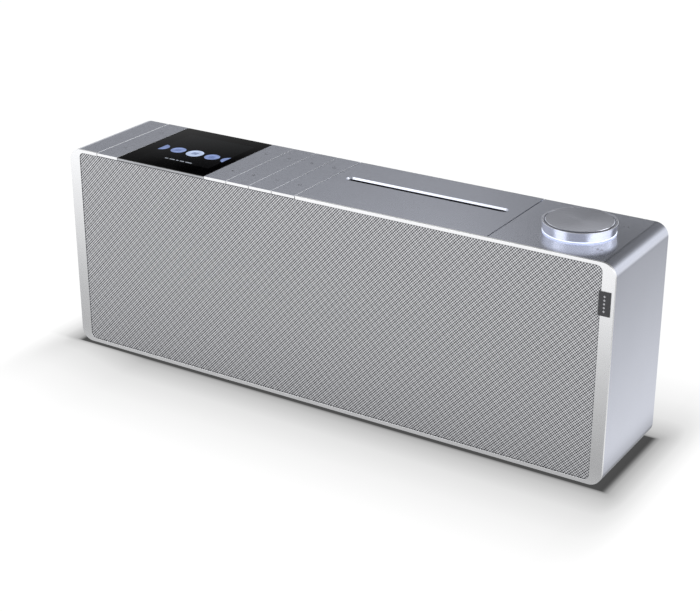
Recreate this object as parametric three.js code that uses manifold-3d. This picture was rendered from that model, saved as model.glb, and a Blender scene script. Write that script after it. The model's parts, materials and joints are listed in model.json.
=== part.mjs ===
// A one-box mini hi-fi system: a flat metal cabinet with a woven speaker grille in front,
// a glass display, five rocking keys, a disc slot and a turning, pressing knob in its top.
// Millimetres, +Z up, +X to the listener's right, the grille faces -Y.
// The origin is on the table, under the middle of the cabinet.
import * as THREE from 'three';
import { mergeVertices } from 'three/addons/utils/BufferGeometryUtils.js';
import Module from 'manifold-3d';

const wasm = await Module();
wasm.setup();

// Driving dimensions.
const WIDTH = 420;
const DEPTH = 82;
const BODY_HEIGHT = 149.2;
const FOOT_HEIGHT = 2;
const CORNER_RADIUS = 9.2;
const WALL = 2.5;
const CLEARANCE = 0.3;      // between pieces that rest on each other
const SLIT = 0.5;           // the visible line beside a key or the glass
const DISC_DIAMETER = 120;
const SLOT_LENGTH = DISC_DIAMETER + 1.6;
const SLOT_WIDTH = 7;

// The cabinet's planes.
const SIDE = WIDTH / 2;
const FRONT = -DEPTH / 2;
const BACK = DEPTH / 2;
const BOTTOM = FOOT_HEIGHT;
const TOP = FOOT_HEIGHT + BODY_HEIGHT;
const INNER_TOP = TOP - WALL;

// The front: a thin bezel around the grille opening.
const BEZEL_THICKNESS = 1.6;
const SLEEVE_FRONT = FRONT + BEZEL_THICKNESS + CLEARANCE;
const OPENING = { side: 201.3, bottom: BOTTOM + 2.7, top: TOP - 2.3, radius: 4 };
const GRILLE_RIM = 0.8;

// The top, from left to right: one key, the glass, four keys, the slot plate, a seam, the knob.
const KEY_PITCH = 18.5;
const KEY_THICKNESS = 1.9;
const GLASS_LEFT = -166.4;
const GLASS_RIGHT = -91.1;
const GLASS_THICKNESS = 1.5;
const KEYS_LEFT = GLASS_LEFT - KEY_PITCH;
const KEYS_RIGHT = GLASS_RIGHT + 4 * KEY_PITCH;
const KEY_PIVOT_Z = TOP - 3.6;
const KEY_PLUNGER_Y = 30;
const SEAM_X = 123.7;
const SEAM_GAP = 0.6;

// The disc slot and the vertical drive under it.
const SLOT_X = 53.2;
const SLOT_Y = 8;
const DISC_Z = 82;
const CHASSIS_Y = SLOT_Y + 8.5;
const CHASSIS_THICKNESS = 1.5;
const CHASSIS_LEFT = SLOT_X - 67.2;
const CHASSIS_RIGHT = SLOT_X + 70.8;
const CHASSIS_BOTTOM = 16;
const CHASSIS_TOP = 118;
const SLED_START = SLOT_X + 17;
const SLED_WIDTH = 12;
const SLED_TRAVEL = 34;
const SLED_ROD_Y = 22.5;
const SLED_RAIL_Z = 94;
const LEAD_SCREW_Z = 62;
const ROLLER_Z = 127;
const ROLLER_Y = SLOT_Y + 7.6;

// The knob, on the middle line of the right-hand part of the top.
const KNOB_X = 167.2;
const KNOB_RADIUS = 23.6;
const KNOB_FOOT_RADIUS = 22.9;
const KNOB_CAP_RADIUS = 21.5;
const KNOB_GROOVE = 0.6;
const KNOB_RIM_Z = TOP + 7;
const KNOB_CAP_Z = TOP + 7.4;
const LIGHT_RING_RADIUS = 23.1;
const LIGHT_RING_HEIGHT = 0.4;
const ENCODER_BOARD_Z = 134.4;

// The two loudspeakers.
const DRIVER_X = 152;
const DRIVER_Z = 66;
const DRIVER_SEGMENTS = 24;
const BAFFLE_FRONT = -33.7;
const BAFFLE_THICKNESS = 2.5;

// The rear.
const REAR_PANEL_FRONT = 37.4;
const REAR_PANEL_BACK = 39.4;
const SOCKET_FACE = REAR_PANEL_BACK + CLEARANCE;
const SOCKET_ROW_Z = 34;
const PORT_X = -58;
const PORT_Z = 104;
const PORT_RADIUS = 15;
const INLET_X = -184;
const INLET_Z = 49;
const MAIN_BOARD_Y = 26.4;
const BOARD_THICKNESS = 1.6;
const BOARD_FLOOR_Z = 8;

// Materials: every piece gets its own copy of one of these finishes.
const FINISHES = {
  satinAluminium: { color: 0xb9bdc4, roughness: 0.32, metalness: 0.9 },
  brightAluminium: { color: 0xe3e5e8, roughness: 0.3, metalness: 0.8 },
  turnedAluminium: { color: 0xc9ccd1, roughness: 0.22, metalness: 0.95 },
  wovenMetal: { color: 0xa9abae, roughness: 0.5, metalness: 0.6 },
  blackGlass: { color: 0x050506, roughness: 0.05, metalness: 0.0 },
  blackPlastic: { color: 0x1c1d1f, roughness: 0.6, metalness: 0.0 },
  greyPlastic: { color: 0x9a9da1, roughness: 0.5, metalness: 0.0 },
  lightPlastic: { color: 0xe8f2ff, roughness: 0.3, metalness: 0.0 },
  rubber: { color: 0x222222, roughness: 0.9, metalness: 0.0 },
  wovenLabel: { color: 0x35363a, roughness: 0.9, metalness: 0.0 },
  steel: { color: 0x9b9ea3, roughness: 0.4, metalness: 0.9 },
  castMetal: { color: 0x3a3c40, roughness: 0.5, metalness: 0.7 },
  paper: { color: 0x2a2a2c, roughness: 0.95, metalness: 0.0 },
  circuitBoard: { color: 0x1f5a35, roughness: 0.6, metalness: 0.0 },
};

const system = new THREE.Group();

function place(name, geometry, finish) {
  const mesh = new THREE.Mesh(geometry, new THREE.MeshStandardMaterial(FINISHES[finish]));
  mesh.name = name;
  system.add(mesh);
}

// Solids and booleans.
function solid(geometry) {
  const bare = geometry.clone();
  bare.deleteAttribute('normal');
  bare.deleteAttribute('uv');
  const merged = mergeVertices(bare, 1e-4);
  const triangles = [];
  for (let i = 0; i < merged.index.count; i += 3) {
    const [a, b, c] = [0, 1, 2].map((k) => merged.index.getX(i + k));
    if (a !== b && b !== c && c !== a) {
      triangles.push(a, b, c);
    }
  }
  return new wasm.Manifold(new wasm.Mesh({
    numProp: 3,
    vertProperties: merged.attributes.position.array,
    triVerts: Uint32Array.from(triangles),
  }));
}

function geometryOf(body) {
  const mesh = body.getMesh();
  const geometry = new THREE.BufferGeometry();
  geometry.setAttribute('position', new THREE.BufferAttribute(mesh.vertProperties, 3));
  geometry.setIndex(new THREE.BufferAttribute(mesh.triVerts, 1));
  geometry.computeVertexNormals();
  return geometry;
}

function join(...geometries) {
  return geometryOf(geometries.map(solid).reduce((whole, next) => whole.add(next)));
}

function cut(geometry, ...tools) {
  return geometryOf(tools.map(solid).reduce((whole, tool) => whole.subtract(tool), solid(geometry)));
}

// Basic shapes, all given by their limits.
function box(x0, x1, y0, y1, z0, z1) {
  const geometry = new THREE.BoxGeometry(x1 - x0, y1 - y0, z1 - z0);
  return geometry.translate((x0 + x1) / 2, (y0 + y1) / 2, (z0 + z1) / 2);
}

function rounded(x0, x1, y0, y1, radius, target = new THREE.Shape()) {
  target.moveTo(x0 + radius, y0);
  target.lineTo(x1 - radius, y0);
  target.absarc(x1 - radius, y0 + radius, radius, -Math.PI / 2, 0, false);
  target.lineTo(x1, y1 - radius);
  target.absarc(x1 - radius, y1 - radius, radius, 0, Math.PI / 2, false);
  target.lineTo(x0 + radius, y1);
  target.absarc(x0 + radius, y1 - radius, radius, Math.PI / 2, Math.PI, false);
  target.lineTo(x0, y0 + radius);
  target.absarc(x0 + radius, y0 + radius, radius, Math.PI, Math.PI * 1.5, false);
  return target;
}

function polygon(points) {
  return new THREE.Shape(points.map(([x, y]) => new THREE.Vector2(x, y)));
}

function extrude(shape, length, curveSegments) {
  return new THREE.ExtrudeGeometry(shape, { depth: length, bevelEnabled: false, curveSegments });
}

// The outline lies in X-Z and runs along Y.
function alongY(shape, y0, y1, curveSegments = 6) {
  return extrude(shape, y1 - y0, curveSegments).rotateX(Math.PI / 2).translate(0, y1, 0);
}

// The outline lies in Y-Z and runs along X.
function alongX(shape, x0, x1, curveSegments = 4) {
  const turn = new THREE.Matrix4().makeBasis(
    new THREE.Vector3(0, 1, 0),
    new THREE.Vector3(0, 0, 1),
    new THREE.Vector3(1, 0, 0),
  );
  return extrude(shape, x1 - x0, curveSegments).applyMatrix4(turn).translate(x0, 0, 0);
}

// The outline lies in X-Y and runs up Z.
function alongZ(shape, z0, z1, curveSegments = 8) {
  return extrude(shape, z1 - z0, curveSegments).translate(0, 0, z0);
}

// A turned part: [radius, height] points, anticlockwise, around the Y axis.
function turned(profile, segments) {
  return new THREE.LatheGeometry(profile.map(([r, h]) => new THREE.Vector2(r, h)), segments);
}

function turnedUp(profile, x, y, segments) {
  return turned(profile, segments).rotateX(Math.PI / 2).translate(x, y, 0);
}

// A turned part that runs along Y: [radius, y] points.
function turnedBack(profile, x, z, segments) {
  return turned(profile, segments).translate(x, 0, z);
}

function rodProfile(radius, low, high) {
  return [[0, low], [radius, low], [radius, high], [0, high]];
}

function rodZ(radius, x, y, z0, z1, segments = 20) {
  return turnedUp(rodProfile(radius, z0, z1), x, y, segments);
}

function rodY(radius, x, z, y0, y1, segments = 20) {
  return turnedBack(rodProfile(radius, y0, y1), x, z, segments);
}

function rodX(radius, y, z, x0, x1, segments = 16) {
  return turned(rodProfile(radius, x0, x1), segments).rotateZ(-Math.PI / 2).translate(0, y, z);
}

// Cabinet.
function cabinetOutline(inset) {
  return rounded(-SIDE + inset, SIDE - inset, BOTTOM + inset, TOP - inset, CORNER_RADIUS - inset);
}

function housingSleeve() {
  const ring = cabinetOutline(0);
  ring.holes.push(cabinetOutline(WALL));
  const topOpening = box(KEYS_LEFT - SLIT / 2, SEAM_X + SEAM_GAP / 2, FRONT, BACK + 1, TOP - WALL - 1, TOP + 1);
  const encoderHole = rodZ(5.4, KNOB_X, 0, TOP - WALL - 1, TOP + 1);
  return cut(alongY(ring, SLEEVE_FRONT, BACK), topOpening, encoderHole);
}

function grilleOutline(inset, target) {
  const { side, bottom, top, radius } = OPENING;
  return rounded(-side + inset, side - inset, bottom + inset, top - inset, radius - inset, target);
}

function frontBezel() {
  const ring = cabinetOutline(0);
  ring.holes.push(grilleOutline(0, new THREE.Path()));
  const keyRecess = box(
    KEYS_LEFT - SLIT / 2, KEYS_RIGHT + SLIT / 2,
    FRONT - 1, SLEEVE_FRONT, OPENING.top - 1, TOP + 1,
  );
  return cut(alongY(ring, FRONT, FRONT + BEZEL_THICKNESS), keyRecess);
}

function grilleFrame() {
  const front = FRONT + 0.1;
  const pocket = FRONT + 1.6;
  const back = FRONT + 4.5;
  const outside = alongY(grilleOutline(CLEARANCE), front, back);
  const window = alongY(grilleOutline(GRILLE_RIM), front - 1, pocket);
  const ledge = 4;
  const bays = 3;
  const barWidth = 6;
  const left = -OPENING.side + ledge;
  const bayWidth = (2 * OPENING.side - 2 * ledge - (bays - 1) * barWidth) / bays;
  const openings = [];
  for (let i = 0; i < bays; i += 1) {
    const x = left + i * (bayWidth + barWidth);
    openings.push(box(x, x + bayWidth, pocket - 1, back + 1, OPENING.bottom + ledge, OPENING.top - ledge));
  }
  return cut(outside, window, ...openings);
}

function grille() {
  return alongY(grilleOutline(GRILLE_RIM + CLEARANCE), FRONT + 0.2, FRONT + 1.3, 4);
}

function fabricTag() {
  const bottom = BOTTOM + 115.5;
  const height = 15.6;
  return box(200, 207.9, FRONT - 0.6, FRONT - 0.2, bottom, bottom + height);
}

function foot(x, y) {
  const radius = 9;
  const top = FOOT_HEIGHT - CLEARANCE;
  return turnedUp([[0, 0], [radius - 0.5, 0], [radius, 0.5], [radius, top], [0, top]], x, y, 20);
}

// Top: glass, keys, slot plate.
function displayGlass() {
  return box(
    GLASS_LEFT + SLIT / 2, GLASS_RIGHT - SLIT / 2,
    FRONT + 1, BACK, TOP - GLASS_THICKNESS, TOP,
  );
}

function displayTrim() {
  return box(
    GLASS_LEFT + SLIT / 2, GLASS_RIGHT - SLIT / 2,
    FRONT, FRONT + 0.7, TOP - KEY_THICKNESS, TOP,
  );
}

function displayModule() {
  const middle = (GLASS_LEFT + GLASS_RIGHT) / 2;
  const panel = box(middle - 30, middle + 30, -30, 28, TOP - 6.6, TOP - GLASS_THICKNESS - CLEARANCE);
  const cableTail = box(middle - 12, middle + 12, 28, 33, TOP - 6.6, TOP - 5.4);
  return join(panel, cableTail);
}

function keyBar(left) {
  const x0 = left + SLIT / 2;
  const x1 = left + KEY_PITCH - SLIT / 2;
  const underside = TOP - KEY_THICKNESS;
  const edge = 0.35;
  const plate = alongX(polygon([
    [FRONT, underside], [BACK, underside], [BACK, TOP - edge],
    [BACK - edge, TOP], [FRONT + edge, TOP], [FRONT, TOP - edge],
  ]), x0, x1);
  const middle = (x0 + x1) / 2;
  const web = box(x0 + 3, x1 - 3, -0.8, 0.8, KEY_PIVOT_Z, underside + 0.5);
  const knuckle = rodX(1.2, 0, KEY_PIVOT_Z, x0 + 3, x1 - 3, 12);
  const plungers = [-KEY_PLUNGER_Y, KEY_PLUNGER_Y].map(
    (y) => box(middle - 1.5, middle + 1.5, y - 1.5, y + 1.5, TOP - 3.2, underside + 0.5),
  );
  return join(plate, web, knuckle, ...plungers);
}

const KEY_LEFTS = [KEYS_LEFT, 0, 1, 2, 3].map((n, i) => (i === 0 ? n : GLASS_RIGHT + n * KEY_PITCH));

function keyBoard() {
  const z = TOP - 8.1;
  const board = box(KEYS_LEFT + 1, KEYS_RIGHT - 1, -34, 34, z, z + 1.2);
  const pivotSlots = KEY_LEFTS.map((left) => box(left + 1.5, left + KEY_PITCH - 1.5, -2.5, 2.5, z - 1, z + 3));
  const switches = KEY_LEFTS.flatMap((left) => [-KEY_PLUNGER_Y, KEY_PLUNGER_Y].map((y) => {
    const x = left + KEY_PITCH / 2;
    return box(x - 3, x + 3, y - 3, y + 3, z + 0.5, TOP - 3.7);
  }));
  return cut(join(board, ...switches), ...pivotSlots);
}

function topCarrier() {
  const z = TOP - 10;
  const plate = box(KEYS_LEFT + 1, SEAM_X - 1, -36, 36, z, z + 1.6);
  const saddleTop = KEY_PIVOT_Z - 1.2 - CLEARANCE;
  const saddles = KEY_LEFTS.map((left) => box(left + 4, left + KEY_PITCH - 4, -1.6, 1.6, z + 1, saddleTop));
  const guideHole = alongZ(slotOutline(6), z - 1, z + 3);
  return cut(join(plate, ...saddles), guideHole);
}

function slotOutline(margin, target = new THREE.Shape()) {
  const half = SLOT_LENGTH / 2 + margin;
  const radius = SLOT_WIDTH / 2 + margin;
  return rounded(SLOT_X - half, SLOT_X + half, SLOT_Y - radius, SLOT_Y + radius, radius, target);
}

function slotPlate() {
  const outline = new THREE.Shape();
  const x0 = KEYS_RIGHT + SLIT / 2;
  const x1 = SEAM_X - SEAM_GAP / 2;
  outline.moveTo(x0, SLEEVE_FRONT);
  outline.lineTo(x1, SLEEVE_FRONT);
  outline.lineTo(x1, BACK);
  outline.lineTo(x0, BACK);
  outline.holes.push(slotOutline(0, new THREE.Path()));
  return alongZ(outline, INNER_TOP, TOP, 6);
}

function discGuide() {
  const outline = slotOutline(5.6);
  outline.holes.push(slotOutline(0.8, new THREE.Path()));
  return alongZ(outline, TOP - 14, INNER_TOP - CLEARANCE, 5);
}

// Knob.
function lightRing() {
  const low = TOP + CLEARANCE;
  const high = low + LIGHT_RING_HEIGHT;
  const inner = LIGHT_RING_RADIUS - 3;
  return turnedUp([
    [inner, low], [LIGHT_RING_RADIUS, low], [LIGHT_RING_RADIUS, high], [inner, high], [inner, low],
  ], KNOB_X, 0, 48);
}

function knobRing() {
  const low = TOP + CLEARANCE + LIGHT_RING_HEIGHT + CLEARANCE;
  const wall = KNOB_CAP_RADIUS + KNOB_GROOVE;
  const webLow = TOP + 2.2;
  const webHigh = TOP + 3.6;
  const shaftBottom = ENCODER_BOARD_Z + 5;
  return turnedUp([
    [1.9, shaftBottom], [3, shaftBottom], [3, webLow], [wall - 1, webLow], [wall - 1, low],
    [KNOB_FOOT_RADIUS, low], [KNOB_RADIUS, KNOB_RIM_Z - 0.3], [KNOB_RADIUS - 0.3, KNOB_RIM_Z], [wall, KNOB_RIM_Z],
    [wall, webHigh], [1.9, webHigh], [1.9, shaftBottom],
  ], KNOB_X, 0, 48);
}

function knobCap() {
  const underside = TOP + 5;
  const stemBottom = ENCODER_BOARD_Z + 3.5;
  return turnedUp([
    [0, stemBottom], [1.5, stemBottom], [1.5, underside], [KNOB_CAP_RADIUS, underside],
    [KNOB_CAP_RADIUS, KNOB_CAP_Z - 0.7], [KNOB_CAP_RADIUS - 0.7, KNOB_CAP_Z], [0, KNOB_CAP_Z],
  ], KNOB_X, 0, 48);
}

function rotaryEncoder() {
  const z = ENCODER_BOARD_Z;
  const board = box(KNOB_X - 14, KNOB_X + 14, -12, 12, z, z + BOARD_THICKNESS);
  const pressSwitch = box(KNOB_X - 1.8, KNOB_X + 1.8, -1.8, 1.8, z + 1, z + 2.6);
  const body = box(KNOB_X - 7, KNOB_X + 7, -7, 7, z + 1, INNER_TOP - CLEARANCE);
  const bushing = rodZ(4.8, KNOB_X, 0, INNER_TOP - 2, TOP + 1.4);
  const bore = rodZ(3.4, KNOB_X, 0, z + BOARD_THICKNESS, TOP + 2);
  const housing = cut(join(body, bushing), bore);
  return join(board, pressSwitch, housing);
}

// Loudspeakers.
function driverFrame(x) {
  return turnedBack([
    [46, -35.6], [46, -34], [41, -34], [27, -11.8], [27, -10.5], [12.3, -10.5], [12.3, -12],
    [25.5, -12], [38.6, -33.4], [38.6, -35.6], [46, -35.6],
  ], x, DRIVER_Z, DRIVER_SEGMENTS);
}

function driverMagnet(x) {
  return turnedBack([
    [0, -10.2], [9.2, -10.2], [9.2, -1.5], [11.8, -1.5], [11.8, -10.2],
    [26, -10.2], [26, 4], [0, 4],
  ], x, DRIVER_Z, DRIVER_SEGMENTS);
}

function driverCone(x) {
  return turnedBack([
    [0, -26], [6, -25.2], [11.2, -22.4], [31, -34.2], [31, -33.2], [11.2, -20.6], [11.2, -6.5], [10, -6.5],
    [10, -20.8], [6, -23.6], [0, -24.4],
  ], x, DRIVER_Z, DRIVER_SEGMENTS);
}

function driverSurround(x) {
  return turnedBack([
    [31.5, -33.4], [31.5, -34.2], [33, -36], [35, -36.6], [37, -36], [38.2, -34.4], [38.2, -33.4],
    [36.6, -34.4], [35, -35.4], [33.2, -34.6], [31.5, -33.4],
  ], x, DRIVER_Z, DRIVER_SEGMENTS);
}

function baffle() {
  const back = BAFFLE_FRONT + BAFFLE_THICKNESS;
  const board = alongY(cabinetOutline(WALL + 0.5), BAFFLE_FRONT, back, 3);
  const topClearance = box(-SIDE, SIDE, BAFFLE_FRONT - 1, back + 1, TOP - 11, TOP);
  const holes = [-DRIVER_X, DRIVER_X].map((x) => rodY(42, x, DRIVER_Z, BAFFLE_FRONT - 1, back + 1, 32));
  return cut(board, topClearance, ...holes);
}

// Disc drive: it stands upright, and the disc drops in between its cover and its chassis.
function discChassis() {
  const back = CHASSIS_Y + CHASSIS_THICKNESS;
  const plate = box(CHASSIS_LEFT, CHASSIS_RIGHT, CHASSIS_Y, back, CHASSIS_BOTTOM, CHASSIS_TOP);
  const earWidth = 2.5;
  const rollerEars = [CHASSIS_LEFT, CHASSIS_RIGHT - earWidth].map((x) => cut(
    box(x, x + earWidth, ROLLER_Y - 4, back, CHASSIS_TOP - 8, ROLLER_Z + 5),
    rodX(1.8, ROLLER_Y, ROLLER_Z, x - 1, x + earWidth + 1),
  ));
  const sledEars = [SLED_START - 6, CHASSIS_RIGHT - earWidth].map((x) => cut(
    box(x, x + earWidth, back - 0.5, SLED_ROD_Y + 3, LEAD_SCREW_Z - 4, SLED_RAIL_Z + 4),
    rodX(1.9, SLED_ROD_Y, LEAD_SCREW_Z, x - 1, x + earWidth + 1, 12),
  ));
  const rail = rodX(1.5, SLED_ROD_Y, SLED_RAIL_Z, SLED_START - 5, CHASSIS_RIGHT - 1, 12);
  const sledWindow = box(
    SLED_START - 2, SLED_START + SLED_WIDTH + SLED_TRAVEL + 2,
    CHASSIS_Y - 1, back + 1, LEAD_SCREW_Z - 6, SLED_RAIL_Z + 6,
  );
  const spindleHole = rodY(3, SLOT_X, DISC_Z, CHASSIS_Y - 1, back + 1);
  return join(cut(plate, sledWindow, spindleHole), ...rollerEars, ...sledEars, rail);
}

function discCover() {
  const y = SLOT_Y - 7.5;
  return box(CHASSIS_LEFT + 2, SLOT_X + 62, y, y + 1.2, CHASSIS_BOTTOM, CHASSIS_TOP + 12);
}

function spindleMotor() {
  const front = CHASSIS_Y + CHASSIS_THICKNESS + CLEARANCE;
  return turnedBack([
    [2.4, front], [10.5, front], [10.5, front + 10], [2.4, front + 10], [2.4, front],
  ], SLOT_X, DISC_Z, 24);
}

function discSpindle() {
  const front = SLOT_Y + 3;
  return turnedBack([
    [0, front], [5.4, front], [7.3, front + 1.4], [7.3, front + 2.4], [15, front + 2.4], [15, front + 4],
    [1.5, front + 4], [1.5, CHASSIS_Y + 11], [0, CHASSIS_Y + 11],
  ], SLOT_X, DISC_Z, 24);
}

function laserSled() {
  const x1 = SLED_START + SLED_WIDTH;
  const body = box(SLED_START, x1, SLOT_Y + 5, SLED_ROD_Y + 4, LEAD_SCREW_Z - 4, SLED_RAIL_Z + 4);
  const lens = rodY(3.2, (SLED_START + x1) / 2, DISC_Z, SLOT_Y + 3.8, SLOT_Y + 6, 16);
  const railBore = rodX(1.9, SLED_ROD_Y, SLED_RAIL_Z, SLED_START - 1, x1 + 1, 12);
  const screwBore = rodX(1.9, SLED_ROD_Y, LEAD_SCREW_Z, SLED_START - 1, x1 + 1, 12);
  return cut(join(body, lens), railBore, screwBore);
}

function leadScrew() {
  return rodX(1.5, SLED_ROD_Y, LEAD_SCREW_Z, SLED_START - 6, CHASSIS_RIGHT - 1, 12);
}

function sledMotor() {
  const end = SLED_START - 6 - CLEARANCE;
  return rodX(4, SLED_ROD_Y, LEAD_SCREW_Z, end - 18, end, 16);
}

function loadingRoller() {
  const shaft = 1.5;
  const rubber = 3.5;
  const x0 = CHASSIS_LEFT;
  const x1 = CHASSIS_RIGHT;
  return turned([
    [0, x0], [shaft, x0], [shaft, SLOT_X - 58], [rubber, SLOT_X - 58], [rubber, SLOT_X + 58],
    [shaft, SLOT_X + 58], [shaft, x1], [0, x1],
  ], 16).rotateZ(-Math.PI / 2).translate(0, ROLLER_Y, ROLLER_Z);
}

function loadingMotor() {
  const y = CHASSIS_Y + CHASSIS_THICKNESS + CLEARANCE;
  return box(CHASSIS_LEFT + 4, CHASSIS_LEFT + 26, y, y + 12, CHASSIS_TOP - 20, CHASSIS_TOP - 6);
}

// Electronics.
function mainBoard() {
  const y = MAIN_BOARD_Y;
  const board = box(-114, -14, y, y + BOARD_THICKNESS, 14, 74);
  const chips = [[-96, 58, 9], [-66, 58, 12], [-36, 60, 7]].map(
    ([x, z, half]) => box(x - half, x + half, y - 2, y + 0.5, z - half, z + half),
  );
  return join(board, ...chips);
}

function amplifierBoard() {
  const z = BOARD_FLOOR_Z;
  const board = box(-110, -18, -26, 22, z, z + BOARD_THICKNESS);
  const capacitors = [[-30, -14], [-30, 8], [-46, -14]].map(([x, y]) => rodZ(5, x, y, z + 1, z + 18, 16));
  return join(board, ...capacitors);
}

function heatsink() {
  const [x0, x1, y0, y1] = [-104, -60, -22, 18];
  const z = BOARD_FLOOR_Z + BOARD_THICKNESS + CLEARANCE;
  const fins = [];
  for (let x = x0; x < x1; x += 6) {
    fins.push(box(x, x + 2, y0, y1, z + 2, z + 24));
  }
  return join(box(x0, x1, y0, y1, z, z + 3), ...fins);
}

function powerSupply() {
  const z = BOARD_FLOOR_Z;
  const board = box(-202, -120, 8, 35, z, z + BOARD_THICKNESS);
  const transformer = box(-172, -144, 10, 33, z + 1, z + 26);
  const capacitors = [[-188, 22], [-132, 21]].map(([x, y]) => rodZ(8, x, y, z + 1, z + 24, 16));
  return join(board, transformer, ...capacitors);
}

// Rear panel and its sockets.
const SOCKETS = {
  antenna: { x: -24, width: 10, height: 10 },
  network: { x: -44, width: 16, height: 14 },
  usb: { x: -64, width: 15, height: 8 },
  optical: { x: -82, width: 11, height: 11 },
  jacks: { x: -100, width: 20, height: 9 },
};

const SOCKET_PLATE = { left: -114, right: -14, bottom: 24, top: 44, front: 38 };

function socketBody({ x, width, height }, front) {
  return box(x - width / 2, x + width / 2, front, SOCKET_FACE, SOCKET_ROW_Z - height / 2, SOCKET_ROW_Z + height / 2);
}

const SOCKET_FRONT = MAIN_BOARD_Y + BOARD_THICKNESS + CLEARANCE;

function pocket(x, z, width, height, depth) {
  return box(x - width / 2, x + width / 2, SOCKET_FACE - depth, SOCKET_FACE + 1, z - height / 2, z + height / 2);
}

function networkSocket() {
  const { x } = SOCKETS.network;
  return cut(
    socketBody(SOCKETS.network, SOCKET_FRONT),
    pocket(x, SOCKET_ROW_Z, 12, 8, 10),
    pocket(x, SOCKET_ROW_Z - 4, 6, 4, 10),
  );
}

function usbSocket() {
  const { x } = SOCKETS.usb;
  const shell = cut(socketBody(SOCKETS.usb, SOCKET_FRONT), pocket(x, SOCKET_ROW_Z, 12.6, 5.4, 10));
  const tongue = box(x - 5.5, x + 5.5, SOCKET_FACE - 11, SOCKET_FACE - 1, SOCKET_ROW_Z + 0.5, SOCKET_ROW_Z + 2.2);
  return join(shell, tongue);
}

function opticalSocket() {
  const { x } = SOCKETS.optical;
  return cut(socketBody(SOCKETS.optical, SOCKET_FRONT), pocket(x, SOCKET_ROW_Z, 7, 7, 8));
}

function audioJacks() {
  const { x } = SOCKETS.jacks;
  const bores = [x - 5, x + 5].map((at) => rodY(1.8, at, SOCKET_ROW_Z, SOCKET_FACE - 10, SOCKET_FACE + 1, 16));
  return cut(socketBody(SOCKETS.jacks, SOCKET_FRONT), ...bores);
}

function antennaSocket() {
  const { x } = SOCKETS.antenna;
  const end = BACK + 0.6;
  const barrel = turnedBack([
    [0, SOCKET_FRONT], [4.7, SOCKET_FRONT], [4.7, end], [3.9, end], [3.9, end - 8],
    [1.2, end - 8], [1.2, end - 1], [0, end - 1],
  ], x, SOCKET_ROW_Z, 20);
  return barrel;
}

function inletOutline(margin) {
  const [width, height] = [16.6 + margin, 8 + margin];
  const radius = height / 2;
  return rounded(INLET_X - width / 2, INLET_X + width / 2, INLET_Z - radius, INLET_Z + radius, radius - 0.01);
}

function mainsInlet() {
  const block = box(INLET_X - 13, INLET_X + 13, SOCKET_FACE - 18, SOCKET_FACE, INLET_Z - 8, INLET_Z + 8);
  const mouth = alongY(inletOutline(0), SOCKET_FACE - 13, SOCKET_FACE + 1);
  const pins = [-4.3, 4.3].map((dx) => rodY(1.2, INLET_X + dx, INLET_Z, SOCKET_FACE - 14, SOCKET_FACE - 3, 12));
  return join(cut(block, mouth), ...pins);
}

function bassPort() {
  const outer = PORT_RADIUS + 2;
  const front = -4;
  const lip = SOCKET_FACE + 1.4;
  return turnedBack([
    [PORT_RADIUS, front], [outer, front], [outer, SOCKET_FACE], [outer + 4, SOCKET_FACE],
    [outer + 4, lip - 0.5], [outer + 3.5, lip], [outer + 1, lip], [PORT_RADIUS + 0.8, lip - 2],
    [PORT_RADIUS, lip - 6], [PORT_RADIUS, front],
  ], PORT_X, PORT_Z, 32);
}

function socketPlate() {
  const plate = box(
    SOCKET_PLATE.left, SOCKET_PLATE.right, SOCKET_PLATE.front, REAR_PANEL_BACK,
    SOCKET_PLATE.bottom, SOCKET_PLATE.top,
  );
  const holes = Object.values(SOCKETS).map(({ x, width, height }) => box(
    x - width / 2 - CLEARANCE, x + width / 2 + CLEARANCE, SOCKET_PLATE.front - 1, REAR_PANEL_BACK + 1,
    SOCKET_ROW_Z - height / 2 - CLEARANCE, SOCKET_ROW_Z + height / 2 + CLEARANCE,
  ));
  return cut(plate, ...holes);
}

function rearPanel() {
  const panel = alongY(cabinetOutline(WALL + CLEARANCE), REAR_PANEL_FRONT, REAR_PANEL_BACK);
  const [low, high] = [REAR_PANEL_FRONT - 1, REAR_PANEL_BACK + 1];
  const portHole = rodY(PORT_RADIUS + 2 + CLEARANCE, PORT_X, PORT_Z, low, high, 32);
  const inletHole = box(
    INLET_X - 13 - CLEARANCE, INLET_X + 13 + CLEARANCE, low, high,
    INLET_Z - 8 - CLEARANCE, INLET_Z + 8 + CLEARANCE,
  );
  const plateHole = box(
    SOCKET_PLATE.left - CLEARANCE, SOCKET_PLATE.right + CLEARANCE, low, high,
    SOCKET_PLATE.bottom - CLEARANCE, SOCKET_PLATE.top + CLEARANCE,
  );
  return cut(panel, portHole, inletHole, plateHole);
}

function rearScrew(x, z) {
  const seat = REAR_PANEL_BACK + CLEARANCE;
  const head = turnedBack([
    [0, seat], [3.2, seat], [3.2, seat + 0.7], [2.2, seat + 1.3], [0, seat + 1.3],
  ], x, z, 16);
  const slots = [[2, 0.35], [0.35, 2]].map(
    ([dx, dz]) => box(x - dx, x + dx, seat + 0.7, seat + 2, z - dz, z + dz),
  );
  return cut(head, ...slots);
}

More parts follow.
